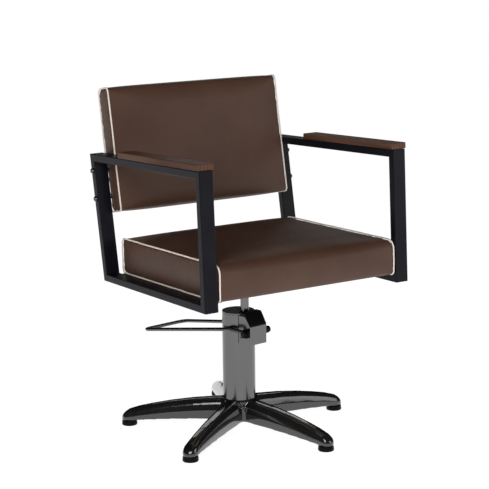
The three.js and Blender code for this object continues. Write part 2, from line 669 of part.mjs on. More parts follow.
function seatGroup() {
  const seat = new THREE.Group();
  for (const [side, sign] of [['left', 1], ['right', -1]]) {
    sideFrame(seat, side, sign);
    armrest(seat, side, sign);
    backBolts(seat, side, sign);
  }
  seatPad(seat);
  backPad(seat);
  seat.add(piece('seat_plate', seatPlate(), FRAME_PAINT));
  seat.rotation.x = -SEAT_TILT;
  seat.position.z = SEAT_LEVEL;
  return seat;
}

// ---- Assembly -----------------------------------------------------------------------------------
const chair = new THREE.Group();
const base = baseGroup();
base.position.set(-PISTON_OFFSET * Math.sin(PUMP_TURN), PISTON_OFFSET * Math.cos(PUMP_TURN), 0);
const pump = pumpGroup();
pump.rotation.z = PUMP_TURN;
const swivelBush = ring(ROD_R + GAP, BUSH_R - GAP, SEAT_LEVEL - HUB_DEPTH + 1, ROD_TOP - 5, 24);
const rod = piece('piston_rod', pistonRod(), CHROME);
chair.add(base, pump, rod, piece('swivel_bush', swivelBush, BRONZE), seatGroup());

// The origin is the middle of the whole chair's footprint, on the floor.
chair.updateMatrixWorld(true);
const extent = new THREE.Box3().setFromObject(chair, true);
const middle = extent.getCenter(new THREE.Vector3());
chair.position.set(-middle.x, -middle.y, -extent.min.z);

export default chair;
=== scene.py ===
"""Hydraulic styling chair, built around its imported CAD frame. Metres, +Z up, front towards -Y."""
import json
import math

import bmesh
import bpy
from mathutils import Matrix, Vector, noise

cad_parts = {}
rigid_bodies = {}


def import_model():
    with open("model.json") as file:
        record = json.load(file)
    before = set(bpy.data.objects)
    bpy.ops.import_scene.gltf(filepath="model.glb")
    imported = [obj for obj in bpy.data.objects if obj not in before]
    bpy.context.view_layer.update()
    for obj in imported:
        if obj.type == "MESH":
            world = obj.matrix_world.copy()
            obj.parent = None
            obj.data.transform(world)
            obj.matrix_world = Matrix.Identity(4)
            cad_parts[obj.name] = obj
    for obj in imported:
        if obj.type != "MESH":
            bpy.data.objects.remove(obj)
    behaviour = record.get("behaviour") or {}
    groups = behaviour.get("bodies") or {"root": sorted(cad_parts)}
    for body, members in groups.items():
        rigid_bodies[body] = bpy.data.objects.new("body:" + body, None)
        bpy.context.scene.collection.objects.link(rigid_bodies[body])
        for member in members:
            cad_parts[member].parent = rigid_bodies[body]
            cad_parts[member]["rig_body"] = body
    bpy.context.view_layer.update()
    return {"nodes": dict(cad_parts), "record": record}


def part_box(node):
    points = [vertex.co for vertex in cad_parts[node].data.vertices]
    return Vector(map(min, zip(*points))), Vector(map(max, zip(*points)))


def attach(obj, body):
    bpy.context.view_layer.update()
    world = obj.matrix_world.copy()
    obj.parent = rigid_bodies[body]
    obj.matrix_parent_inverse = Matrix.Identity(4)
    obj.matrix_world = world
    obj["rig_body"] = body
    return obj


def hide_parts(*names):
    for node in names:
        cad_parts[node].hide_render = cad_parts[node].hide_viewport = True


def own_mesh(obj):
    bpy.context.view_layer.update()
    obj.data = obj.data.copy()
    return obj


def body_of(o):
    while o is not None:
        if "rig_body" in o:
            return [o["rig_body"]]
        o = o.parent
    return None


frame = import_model()
SIDES = {"left": 1, "right": -1}


def centre(node):
    low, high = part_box(node)
    return (low + high) / 2


def placed(name, data):
    """A new object in the scene."""
    thing = bpy.data.objects.new(name, data)
    bpy.context.scene.collection.objects.link(thing)
    return thing


# ---- Places taken from the frame -----------------------------------------------------------------
COLUMN = centre("pump_casing")
SWIVEL = centre("piston_rod")
SEAT_TILT = math.radians(1.2)
BACK_LEAN = math.radians(9.2)
ARM_DROP = math.radians(1.1)
PUMP_TURN = math.radians(8)
FIRST_LEG_ANGLE = math.radians(-3.4)
LEGS = 5
LEG_TURN = math.tau / LEGS
SWIVEL_FOOT = Matrix.Translation((SWIVEL.x, SWIVEL.y, 0))
SEAT_SPACE = SWIVEL_FOOT @ Matrix.Rotation(-SEAT_TILT, 4, "X")
BACK_SPACE = SWIVEL_FOOT @ Matrix.Rotation(-(SEAT_TILT + BACK_LEAN), 4, "X")
ARM_SPACE = SWIVEL_FOOT @ Matrix.Rotation(-(SEAT_TILT + ARM_DROP), 4, "X")
PUMP_SPACE = SWIVEL_FOOT @ Matrix.Rotation(PUMP_TURN, 4, "Z")
PUMP_TURNED = PUMP_SPACE.to_3x3()


# ---- Camera --------------------------------------------------------------------------------------
CAMERA_STAND = Vector((-2.2228, -3.4557, 1.3320))  # from the floor under the chair's middle
CAMERA_YAW = math.radians(32.98)  # to the right of +Y
CAMERA_DIP = math.radians(11.61)
CAMERA_ROLL = math.radians(-0.67)
CAMERA_LENS_MM = 120.35
SENSOR_MM = 36


def make_camera():
    ahead = Vector((math.sin(CAMERA_YAW) * math.cos(CAMERA_DIP),
                    math.cos(CAMERA_YAW) * math.cos(CAMERA_DIP), -math.sin(CAMERA_DIP)))
    level = Vector((math.cos(CAMERA_YAW), -math.sin(CAMERA_YAW), 0))
    upright = level.cross(ahead)
    right = level * math.cos(CAMERA_ROLL) + upright * math.sin(CAMERA_ROLL)
    up = right.cross(ahead)
    data = bpy.data.cameras.new("camera")
    data.lens = CAMERA_LENS_MM
    data.sensor_width = SENSOR_MM
    camera = placed("camera", data)
    camera.matrix_world = Matrix((right, up, -ahead)).transposed().to_4x4()
    foot = Vector(((COLUMN.x + SWIVEL.x) / 2, COLUMN.y, 0))
    camera.location = foot + CAMERA_STAND
    bpy.context.scene.camera = camera


make_camera()


# ---- Studio --------------------------------------------------------------------------------------
FLOOR_LEVEL = -0.0005
FLOOR_REACH = 32
FLOOR_GLOW = 0.93
BACKDROP_TOP = 30
BACKDROP_GLOW = 1.1
PAINT_ALBEDO = 0.3
SKY_STRENGTH = 0.24
LIGHTS = {  # place, target, size, watts
    "key": ((-2.6, -2.9, 2.5), (0, 0, 0.55), (2.2, 2.2), 95),
    "fill": ((2.5, -3.1, 1.5), (0, 0, 0.55), (1.6, 2.0), 22),
    "rim": ((1.5, 2.6, 2.2), (0, 0, 0.6), (2.0, 1.0), 7),
}


def area_light(name, place, target, size, watts):
    data = bpy.data.lights.new(name, "AREA")
    data.shape = "RECTANGLE"
    data.size, data.size_y = size
    data.energy = watts
    light = placed(name, data)
    light.location = place
    light.rotation_euler = (Vector(target) - Vector(place)).to_track_quat("-Z", "Y").to_euler()


def glow_material(name, strength):
    nodes = Nodes(name)
    nodes.shade(Base_Color=(PAINT_ALBEDO, PAINT_ALBEDO, PAINT_ALBEDO, 1), Roughness=0.9,
                Emission_Color=(1, 1, 1, 1), Emission_Strength=strength)
    return nodes.material


def stage_sheet(name, points, faces, material):
    mesh = bpy.data.meshes.new(name)
    mesh.from_pydata(points, [], faces)
    mesh.materials.append(material)
    sheet = placed(name, mesh)
    return sheet


def make_studio():
    """A bright floor under a dark ceiling, so that glossy tops stay black and upright sides turn grey."""
    scene = bpy.context.scene
    scene.view_settings.view_transform = "Standard"
    world = bpy.data.worlds.new("studio")
    scene.world = world
    world.use_nodes = True
    world.node_tree.nodes["Background"].inputs["Color"].default_value = (1, 1, 1, 1)
    world.node_tree.nodes["Background"].inputs["Strength"].default_value = SKY_STRENGTH
    world.cycles_visibility.glossy = False
    for name, setting in LIGHTS.items():
        area_light(name, *setting)
    ground = [(-FLOOR_REACH, -FLOOR_REACH, FLOOR_LEVEL), (FLOOR_REACH, -FLOOR_REACH, FLOOR_LEVEL),
              (FLOOR_REACH, FLOOR_REACH, FLOOR_LEVEL), (-FLOOR_REACH, FLOOR_REACH, FLOOR_LEVEL)]
    stage_sheet("floor", ground, [(0, 1, 2, 3)], glow_material("floor_paint", FLOOR_GLOW))
    walls = ground + [(x, y, BACKDROP_TOP) for x, y, z in ground]
    sides = [(i, (i + 1) % 4, 4 + (i + 1) % 4, 4 + i) for i in range(4)]
    backdrop = stage_sheet("backdrop", walls, sides, glow_material("backdrop_paint", BACKDROP_GLOW))
    for ray in ("diffuse", "glossy", "transmission", "shadow"):
        setattr(backdrop, f"visible_{ray}", False)


# ---- Materials -----------------------------------------------------------------------------------
class Nodes:
    """Builds a material's node tree with short calls."""

    def __init__(self, name):
        self.material = bpy.data.materials.new(name)
        self.material.use_nodes = True
        self.tree = self.material.node_tree
        self.shader = self.tree.nodes["Principled BSDF"]
        self.place = self.tree.nodes.new("ShaderNodeTexCoord").outputs["Object"]

    def add(self, kind, **inputs):
        node = self.tree.nodes.new(kind)
        for key, value in inputs.items():
            self.set(node, key.replace("_", " "), value)
        return node

    def set(self, node, key, value):
        socket = node.inputs[key]
        if isinstance(value, bpy.types.NodeSocket):
            self.tree.links.new(value, socket)
        else:
            socket.default_value = value

    def shade(self, **inputs):
        for key, value in inputs.items():
            self.set(self.shader, key.replace("_", " "), value)

    def noise(self, scale, detail=2.0, stretch=(1, 1, 1), roughness=0.5):
        mapping = self.add("ShaderNodeMapping", Vector=self.place, Scale=stretch)
        node = self.add("ShaderNodeTexNoise", Vector=mapping.outputs["Vector"], Scale=scale,
                        Detail=detail, Roughness=roughness)
        return node.outputs["Fac"]

    def ramp(self, source, stops):
        node = self.tree.nodes.new("ShaderNodeValToRGB")
        elements = node.color_ramp.elements
        while len(elements) < len(stops):
            elements.new(0.5)
        for element, (at, colour) in zip(elements, stops):
            element.position = at
            element.color = (*colour, 1)
        self.set(node, "Fac", source)
        return node.outputs["Color"]

    def remap(self, source, low, high, start=0.0, end=1.0):
        node = self.tree.nodes.new("ShaderNodeMapRange")
        self.set(node, "Value", source)
        for key, value in (("From Min", start), ("From Max", end), ("To Min", low), ("To Max", high)):
            self.set(node, key, value)
        return node.outputs["Result"]

    def bump(self, height, distance, strength=1.0, under=None):
        node = self.add("ShaderNodeBump", Height=height, Distance=distance, Strength=strength)
        if under is not None:
            self.set(node, "Normal", under)
        return node.outputs["Normal"]

    def math(self, kind, a, b):
        node = self.tree.nodes.new("ShaderNodeMath")
        node.operation = kind
        self.set(node, 0, a)
        self.set(node, 1, b)
        return node.outputs["Value"]


def leather_material():
    nodes = Nodes("brown_leather")
    tint = nodes.noise(9, 4)
    nodes.shade(Base_Color=nodes.ramp(tint, [
        (0.25, (0.066, 0.030, 0.0175)), (0.75, (0.084, 0.041, 0.0250))]))
    cells = nodes.add("ShaderNodeTexVoronoi", Vector=nodes.place, Scale=620.0)
    fine = nodes.noise(1500, 3)
    creases = nodes.noise(22, 5)
    grain = nodes.bump(cells.outputs["Distance"], 0.00025, 0.4)
    grain = nodes.bump(fine, 0.00012, 0.3, grain)
    grain = nodes.bump(creases, 0.0014, 0.25, grain)
    nodes.shade(Roughness=nodes.remap(nodes.noise(60, 3), 0.42, 0.54), Normal=grain)
    nodes.shader.inputs["Specular IOR Level"].default_value = 0.34
    return nodes.material


def piping_material():
    nodes = Nodes("cream_piping")
    tint = nodes.noise(60, 3)
    nodes.shade(Base_Color=nodes.ramp(tint, [(0.3, (0.74, 0.66, 0.57)), (0.7, (0.84, 0.77, 0.68))]))
    nodes.shade(Roughness=0.45, Normal=nodes.bump(nodes.noise(1500, 2), 0.0001, 0.3))
    return nodes.material


def powder_coat_material(name, dark, light, roughness):
    nodes = Nodes(name)
    tint = nodes.noise(14, 3)
    nodes.shade(Base_Color=nodes.ramp(tint, [(0.3, dark), (0.7, light)]))
    peel = nodes.bump(nodes.noise(900, 2), 0.00012, 0.35)
    nodes.shade(Roughness=nodes.remap(nodes.noise(40, 3), roughness - 0.04, roughness + 0.05), Normal=peel)
    nodes.shader.inputs["Specular IOR Level"].default_value = 0.13
    return nodes.material


def walnut_material():
    nodes = Nodes("walnut")
    grain = nodes.noise(26, 6, (1.0, 0.05, 1.0), 0.6)
    pores = nodes.noise(420, 3, (1.0, 0.03, 1.0), 0.7)
    mapping = nodes.add("ShaderNodeMapping", Vector=nodes.place, Scale=(1.0, 0.06, 1.0))
    waves = nodes.add("ShaderNodeTexWave", Vector=mapping.outputs["Vector"], Scale=38.0,
                      Distortion=7.0, Detail=3.0)
    mixed = nodes.math("MULTIPLY", grain, 0.6)
    for source, share in ((waves.outputs["Fac"], 0.25), (pores, 0.15)):
        mixed = nodes.math("ADD", mixed, nodes.math("MULTIPLY", source, share))
    nodes.shade(Base_Color=nodes.ramp(mixed, [
        (0.25, (0.052, 0.022, 0.012)), (0.5, (0.090, 0.043, 0.026)), (0.75, (0.128, 0.066, 0.041))]))
    nodes.shade(Roughness=nodes.remap(pores, 0.42, 0.6), Normal=nodes.bump(pores, 0.0002, 0.35))
    nodes.shader.inputs["Specular IOR Level"].default_value = 0.13
    return nodes.material


def metal_material(name, colour, roughness, stretch=(1, 1, 1), scratch=0.2):
    nodes = Nodes(name)
    lines = nodes.noise(500, 3, stretch)
    clouds = nodes.noise(12, 3)
    nodes.shade(Base_Color=(*colour, 1), Metallic=1.0)
    nodes.shade(Roughness=nodes.remap(clouds, roughness - 0.03, roughness + 0.05))
    nodes.shade(Normal=nodes.bump(lines, 0.00004, scratch))
    return nodes.material


def gloss_black_material():
    nodes = Nodes("gloss_black")
    tint = nodes.noise(10, 3)
    nodes.shade(Base_Color=nodes.ramp(tint, [(0.3, (0.008, 0.008, 0.009)), (0.7, (0.014, 0.014, 0.015))]))
    nodes.shade(Roughness=nodes.remap(nodes.noise(30, 3), 0.10, 0.18))
    nodes.shade(Normal=nodes.bump(nodes.noise(160, 2), 0.0002, 0.12))
    nodes.shader.inputs["Coat Weight"].default_value = 0.9
    nodes.shader.inputs["Coat Roughness"].default_value = 0.05
    return nodes.material


def plastic_material():
    nodes = Nodes("black_plastic")
    tint = nodes.noise(20, 3)
    nodes.shade(Base_Color=nodes.ramp(tint, [(0.3, (0.002, 0.002, 0.0022)), (0.7, (0.004, 0.004, 0.0045))]))
    nodes.shade(Roughness=nodes.remap(nodes.noise(60, 3), 0.36, 0.48))
    nodes.shade(Normal=nodes.bump(nodes.noise(1200, 2), 0.0001, 0.4))
    nodes.shader.inputs["Specular IOR Level"].default_value = 0.10
    return nodes.material


def plywood_material():
    nodes = Nodes("plywood")
    grain = nodes.noise(30, 5, (1.0, 0.06, 1.0))
    nodes.shade(Base_Color=nodes.ramp(grain, [(0.3, (0.42, 0.28, 0.16)), (0.7, (0.55, 0.40, 0.25))]))
    nodes.shade(Roughness=0.75, Normal=nodes.bump(grain, 0.0003, 0.4))
    return nodes.material


MATERIALS = {
    "leather": leather_material(),
    "piping": piping_material(),
    "frame_paint": powder_coat_material(
        "frame_paint", (0.0042, 0.0042, 0.0074), (0.0062, 0.0062, 0.0102), 0.36),
    "walnut": walnut_material(),
    "plywood": plywood_material(),
    "column_metal": metal_material("column_metal", (0.150, 0.150, 0.151), 0.21, (1, 1, 0.04)),
    "chrome": metal_material("chrome", (0.16, 0.16, 0.163), 0.14, (1, 1, 0.05), 0.1),
    "base_gloss": gloss_black_material(),
    "black_plastic": plastic_material(),
    "steel": metal_material("steel", (0.42, 0.42, 0.43), 0.30),
    "bronze": metal_material("bronze", (0.45, 0.30, 0.13), 0.35),
}
MATERIALS["foam_pad"] = MATERIALS["leather"]
make_studio()


# ---- The frame's own nodes -----------------------------------------------------------------------
SLOT_OF = {row["node"]: row["material_slot"] for row in frame["record"]["subparts"]}
BODY_OF = {name: body_of(node)[0] for name, node in frame["nodes"].items()}
for name, node in frame["nodes"].items():
    node.data.materials.clear()
    node.data.materials.append(MATERIALS[SLOT_OF[name]])


# ---- Mesh helpers --------------------------------------------------------------------------------
def link(name, mesh, slot, body):
    """A finished mesh in row coordinates becomes a piece on its body."""
    piece = placed(name, mesh)
    if not mesh.materials:
        mesh.materials.append(MATERIALS[slot])
    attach(piece, body)
    return piece


def mesh_from(name, points, faces):
    mesh = bpy.data.meshes.new(name)
    mesh.from_pydata([tuple(p) for p in points], [], faces)
    mesh.shade_smooth()
    return mesh


def mesh_of(name, form):
    """A form's mesh. The form itself is given up."""
    mesh = bpy.data.meshes.new(name)
    form.to_mesh(mesh)
    form.free()
    return mesh


def bake_modifiers(work):
    """Replaces an object's mesh by what its modifiers make of it."""
    graph = bpy.context.evaluated_depsgraph_get()
    result = bpy.data.meshes.new_from_object(work.evaluated_get(graph), depsgraph=graph)
    work.modifiers.clear()
    work.data = result


def taken_from(work):
    """The mesh of a work object, which is removed."""
    bake_modifiers(work)
    mesh = work.data
    bpy.data.objects.remove(work)
    return mesh


def melt(work, voxel):
    remesh = work.modifiers.new("melt", "REMESH")
    remesh.mode = "VOXEL"
    remesh.voxel_size = voxel


def local_box(nodes, space):
    """Lowest and highest corner of some CAD nodes, measured in a turned space."""
    inverse = space.inverted()
    points = [inverse @ v.co for n in nodes for v in frame["nodes"][n].data.vertices]
    low = Vector([min(p[i] for p in points) for i in range(3)])
    high = Vector([max(p[i] for p in points) for i in range(3)])
    return low, high


def rounded_outline(low, high, radii, steps=6):
    """A rectangle in (y, z) with its own radius at each corner, starting at low y, low z."""
    corners = [(low.y, low.z, math.pi), (high.y, low.z, 1.5 * math.pi),
               (high.y, high.z, 0), (low.y, high.z, 0.5 * math.pi)]
    points = []
    for (y, z, start), r in zip(corners, radii):
        cy = y + r if y == low.y else y - r
        cz = z + r if z == low.z else z - r
        for i in range(steps + 1):
            angle = start + (math.pi / 2) * i / steps
            points.append((cy + r * math.cos(angle), cz + r * math.sin(angle)))
    return points


def spaced(points, step):
    """The same closed outline with points about one step apart."""
    count = len(points)
    lengths = [math.dist(points[i], points[(i + 1) % count]) for i in range(count)]
    total = sum(lengths)
    number = max(8, round(total / step))
    result = []
    edge, done = 0, 0.0
    for k in range(number):
        target = total * k / number
        while done + lengths[edge] < target:
            done += lengths[edge]
            edge += 1
        t = (target - done) / lengths[edge]
        here, following = points[edge], points[(edge + 1) % count]
        result.append(tuple(a + (b - a) * t for a, b in zip(here, following)))
    return result


def sweep_loop(path, radius, sides=12):
    """Points and faces of a closed round cord along a closed path of vectors."""
    count = len(path)
    points, faces = [], []
    flat = Vector((1, 0, 0))
    for i, place in enumerate(path):
        tangent = (path[(i + 1) % count] - path[i - 1]).normalized()
        outward = tangent.cross(flat).normalized()
        for k in range(sides):
            angle = math.tau * k / sides
            points.append(place + outward * radius * math.cos(angle) + flat * radius * math.sin(angle))
    for i in range(count):
        j = (i + 1) % count
        for k in range(sides):
            m = (k + 1) % sides
            faces.append((i * sides + k, i * sides + m, j * sides + m, j * sides + k))
    return points, faces


# ---- Upholstery ----------------------------------------------------------------------------------
PAD_VOXEL = 0.006
PAD_PRESSURE = 6.0
SWELL_FRAMES = 20
BLANK_INSET = Vector((0, 0.001, 0.001))  # the cover swells, so it starts smaller
SIDE_EDGE = 0.004  # a point this near to a flat face belongs to it
SEAM_HOLD = 0.0075  # the cover is held this near to a seam
PUCKER_DEPTH = 0.0011
PUCKER_REACH = 0.016
PIPING_R = 0.0020
PIPING_STEP = 0.006
CORD_INSET = Vector((0, 0.0011, 0.0011))  # the cord sits in the seam, a little below the cover


def pad_blank(name, outline, half):
    """The pad's plain form: its side outline drawn out across the chair, remeshed evenly."""
    count = len(outline)
    points = [(sign * half, y, z) for sign in (-1, 1) for y, z in outline]
    faces = [tuple(range(count))[::-1], tuple(range(count, 2 * count))]
    for i in range(count):
        j = (i + 1) % count
        faces.append((i, j, count + j, count + i))
    work = placed(name, mesh_from(name, points, faces))
    melt(work, PAD_VOXEL)
    bake_modifiers(work)
    return work


def inflate(work, held, cap):
    """Fills the cover like foam: cloth under pressure, held where it is sewn or stapled."""
    rest = [v.co.copy() for v in work.data.vertices]
    pins = work.vertex_groups.new(name="held")
    for i, co in enumerate(rest):
        weight = held(co)
        if weight > 0:
            pins.add([i], weight, "REPLACE")
    cloth = work.modifiers.new("cover", "CLOTH")
    settings = cloth.settings
    settings.use_pressure = True
    settings.uniform_pressure_force = PAD_PRESSURE
    settings.effector_weights.gravity = 0
    settings.vertex_group_mass = pins.name
    settings.mass = 0.35
    settings.tension_stiffness = settings.compression_stiffness = 18
    settings.bending_stiffness = 1.2
    scene = bpy.context.scene
    cloth.point_cache.frame_start, cloth.point_cache.frame_end = 1, SWELL_FRAMES
    for number in range(1, SWELL_FRAMES + 1):
        scene.frame_set(number)
    bake_modifiers(work)
    for vertex, start in zip(work.data.vertices, rest):
        move = vertex.co - start
        limit = cap(start)
        if move.length > limit:
            vertex.co = start + move.normalized() * limit
    scene.frame_set(1)


def subdivide(work):
    smooth = work.modifiers.new("fine", "SUBSURF")
    smooth.levels = smooth.render_levels = 1
    bake_modifiers(work)


def outline_distance(outline, y, z):
    """Distance in the side plane from a point to the outline."""
    best = 1.0
    count = len(outline)
    for i in range(count):
        (ay, az), (by, bz) = outline[i], outline[(i + 1) % count]
        dy, dz = by - ay, bz - az
        t = max(0.0, min(1.0, ((y - ay) * dy + (z - az) * dz) / (dy * dy + dz * dz)))
        best = min(best, math.hypot(y - ay - t * dy, z - az - t * dz))
    return best


def pucker(work, outline, half):
    """Small gathers in the cover that run away from the piped seams."""
    for vertex, normal in [(v, v.normal.copy()) for v in work.data.vertices]:
        co = vertex.co
        from_side = half - abs(co.x)
        on_side = from_side < SIDE_EDGE
        away = outline_distance(outline, co.y, co.z) if on_side else from_side
        fade = math.exp(-((away / PUCKER_REACH) ** 2))
        if fade > 0.02:
            run = Vector((co.x * 12, co.y * 75, co.z * 75))
            vertex.co = co + normal * PUCKER_DEPTH * fade * noise.noise(run)


def seam_cord(name, outline, x, space):
    """Piping: a covered cord sewn round the edge of a side panel, never quite straight."""
    path = []
    for y, z in spaced(outline, PIPING_STEP):
        sway = noise.noise_vector(Vector((y * 14, z * 14, x * 9)))
        path.append(Vector((x + 0.0008 * sway.x, y + 0.0007 * sway.y, z + 0.0007 * sway.z)))
    points, faces = sweep_loop(path, PIPING_R)
    piece = link(name, mesh_from(name, [space @ p for p in points], faces), "piping", "seat")
    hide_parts(name)


def make_pad(name, nodes, extent, space, radii, crown, flat_side):
    """A swollen pad that stands for its nodes, with a cord in each side seam."""
    low, high = local_box(nodes + extent, space)
    half = (high.x - low.x) / 2 + 0.001
    middle_x = (high.x + low.x) / 2
    outline = rounded_outline(low, high, radii)
    work = pad_blank(name, rounded_outline(low + BLANK_INSET, high - BLANK_INSET, radii), half)

    def held(co):
        if flat_side(co, low, high):
            return 1.0
        near_side = half - abs(co.x) < SEAM_HOLD
        return 1.0 if near_side and outline_distance(outline, co.y, co.z) < SEAM_HOLD else 0.0

    inflate(work, held, lambda co: crown(co, low, high, half))
    subdivide(work)
    pucker(work, outline, half)
    mesh = work.data
    bpy.data.objects.remove(work)
    mesh.transform(space @ Matrix.Translation((middle_x, 0, 0)))
    mesh.materials.clear()
    mesh.shade_smooth()
    pad = link(f"{name}_pad", mesh, "leather", "seat")
    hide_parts(*nodes)
    cord_line = rounded_outline(low + CORD_INSET, high - CORD_INSET, radii)
    for side, sign in SIDES.items():
        seam_cord(f"{name}_piping_{side}", cord_line, middle_x + sign * (half - 0.0008), space)


def make_seat():
    def crown(co, low, high, half):
        if co.z > high.z - 0.012:
            return 0.010
        return 0.0030 if abs(co.x) > half - SIDE_EDGE else 0.005

    make_pad("seat", ("seat_cushion",), ("seat_board",), SEAT_SPACE, (0.010, 0.008, 0.012, 0.022),
             crown, lambda co, low, high: co.z < low.z + SIDE_EDGE)


def make_back():
    def crown(co, low, high, half):
        if co.y < low.y + 0.012:
            return 0.008
        return 0.0022 if abs(co.x) > half - SIDE_EDGE else 0.004

    make_pad("back", ("back_cushion", "back_board"), ("back_cover",), BACK_SPACE,
             (0.008, 0.009, 0.014, 0.010), crown, lambda co, low, high: co.y > high.y - SIDE_EDGE)


make_seat()
make_back()


# ---- Metalwork helpers ---------------------------------------------------------------------------
def led_by_large_faces(mesh):
    """A rounded edge doesn't shade the large face beside it."""
    work = placed("work", mesh)
    modifier = work.modifiers.new("weigh", "WEIGHTED_NORMAL")
    modifier.weight = 90
    modifier.keep_sharp = True
    return taken_from(work)


def finish_hard(name, mesh, nodes, sharp=35):
    """A hard piece: smooth shading inside each face, and it stands for its CAD nodes."""
    mesh.shade_smooth()
    mesh.set_sharp_from_angle(angle=math.radians(sharp))
    if sharp < 180:
        mesh = led_by_large_faces(mesh)
    piece = link(name, mesh, SLOT_OF[nodes[0]], BODY_OF[nodes[0]])
    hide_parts(*nodes)
    return piece


def rounded_over(form, edges, width, segments=2):
    """Rounds some of a form's edges, without running into each other."""
    bmesh.ops.bevel(form, geom=edges, offset=width, segments=segments, profile=0.5, affect="EDGES",
                    clamp_overlap=True)


def eased(node, width):
    """The CAD piece again with its sharp edges rounded over."""
    form = bmesh.new()
    form.from_mesh(frame["nodes"][node].data)
    bmesh.ops.remove_doubles(form, verts=form.verts, dist=1e-6)
    bmesh.ops.dissolve_limit(form, angle_limit=0.01, verts=form.verts, edges=form.edges)
    sharp = [e for e in form.edges if e.is_manifold and e.calc_face_angle(0) > math.radians(24)]
    rounded_over(form, sharp, width)
    finish_hard(f"{node}_eased", mesh_of(f"{node}_eased", form), [node])


def cast(name, nodes, voxel, passes, extra):
    """One casting: the CAD pieces melted together on a fine grid and relaxed into fillets."""
    form = bmesh.new()
    for addition in extra:
        form.from_mesh(addition)
    for node in nodes:
        form.from_mesh(frame["nodes"][node].data)
    work = placed(name, mesh_of(name, form))
    melt(work, voxel)
    relax = work.modifiers.new("relax", "SMOOTH")
    relax.factor = 0.5
    relax.iterations = passes
    finish_hard(name, taken_from(work), nodes, sharp=180)


def sweep(path, section, sideways):
    """Points and faces of a section drawn along a path. The section's x lies along sideways."""
    points, faces = [], []
    sides, rings = len(section), len(path)
    for i, place in enumerate(path):
        along = (path[min(i + 1, rings - 1)] - path[max(i - 1, 0)]).normalized()
        across = (sideways - along * sideways.dot(along)).normalized()
        outward = along.cross(across)
        points += [place + across * u + outward * v for u, v in section]
    for start in range(0, (rings - 1) * sides, sides):
        for k in range(sides):
            m = (k + 1) % sides
            faces.append((start + k, start + sides + k, start + sides + m, start + m))
    faces.append(tuple(range(sides)))
    faces.append(tuple(range((rings - 1) * sides, rings * sides))[::-1])
    return points, faces


def circle(radius, sides=20):
    return [(radius * math.cos(math.tau * k / sides), radius * math.sin(math.tau * k / sides))
            for k in range(sides)]


def bent(corners, radius, steps=7):
    """A path of straight runs with each inner corner turned in an arc."""
    path = [corners[0]]
    for before, corner, after in zip(corners, corners[1:], corners[2:]):
        back, onward = (before - corner).normalized(), (after - corner).normalized()
        half = back.angle(onward) / 2
        shorter = min((before - corner).length, (after - corner).length)
        reach = min(radius / math.tan(half), shorter * 0.48)
        start, end = corner + back * reach, corner + onward * reach
        for i in range(steps + 1):
            t = i / steps
            path.append(start * (1 - t) ** 2 + corner * 2 * t * (1 - t) + end * t * t)
    return path + [corners[-1]]


def face_out(mesh):
    """Turns every face of a closed mesh outwards."""
    form = bmesh.new()
    form.from_mesh(mesh)
    bmesh.ops.recalc_face_normals(form, faces=form.faces)
    form.to_mesh(mesh)
    form.free()
    return mesh


def lathe(name, profile, space, sides=48, hexagon=None):
    """A turned form on a space's own Z. The profile runs (radius, height) from axis to axis.
    Rings listed in hexagon are six-sided, as a key socket is."""
    points, faces = [], []
    rings = []
    for number, (radius, height) in enumerate(profile):
        if radius < 1e-7:
            rings.append([len(points)])
            points.append(space @ Vector((0, 0, height)))
            continue
        rings.append(list(range(len(points), len(points) + sides)))
        for k in range(sides):
            angle = math.tau * k / sides
            reach = radius
            if hexagon and number in hexagon:
                reach = radius / math.cos((angle % (math.pi / 3)) - math.pi / 6)
            points.append(space @ Vector((reach * math.cos(angle), reach * math.sin(angle), height)))
    for low, high in zip(rings, rings[1:]):
        for k in range(sides):
            m = (k + 1) % sides
            if len(low) == 1:
                faces.append((low[0], high[m], high[k]))
            elif len(high) == 1:
                faces.append((low[k], low[m], high[0]))
            else:
                faces.append((low[k], low[m], high[m], high[k]))
    return face_out(mesh_from(name, points, faces))


def looking(place, direction):
    """A space at a place whose Z points along a direction."""
    return Matrix.Translation(place) @ Vector(direction).to_track_quat("Z", "Y").to_matrix().to_4x4()


def softened(low, high, radius, segments=4):
    """A block with every edge rounded to the same radius, as a form still open to change."""
    form = bmesh.new()
    bmesh.ops.create_cube(form, size=1)
    middle, size = (low + high) / 2, high - low
    for vertex in form.verts:
        vertex.co = Vector([middle[i] + vertex.co[i] * size[i] for i in range(3)])
    rounded_over(form, form.edges[:], radius, segments)
    return form


# ---- Side frames: flat oblong tube, mitred and welded into a closed loop --------------------------
TUBE_CORNER_R = 0.0024
MITRE_EASE = 0.0006
ARMREST_EDGE_R = 0.0022


def tube_section(half_wide, half_thick, radius, steps=4):
    points = []
    for cx, cz, start in ((1, 1, 0), (-1, 1, 1), (-1, -1, 2), (1, -1, 3)):
        for i in range(steps + 1):
            angle = (start + i / steps) * math.pi / 2
            points.append((cx * (half_wide - radius) + radius * math.cos(angle),
                           cz * (half_thick - radius) + radius * math.sin(angle)))
    return points


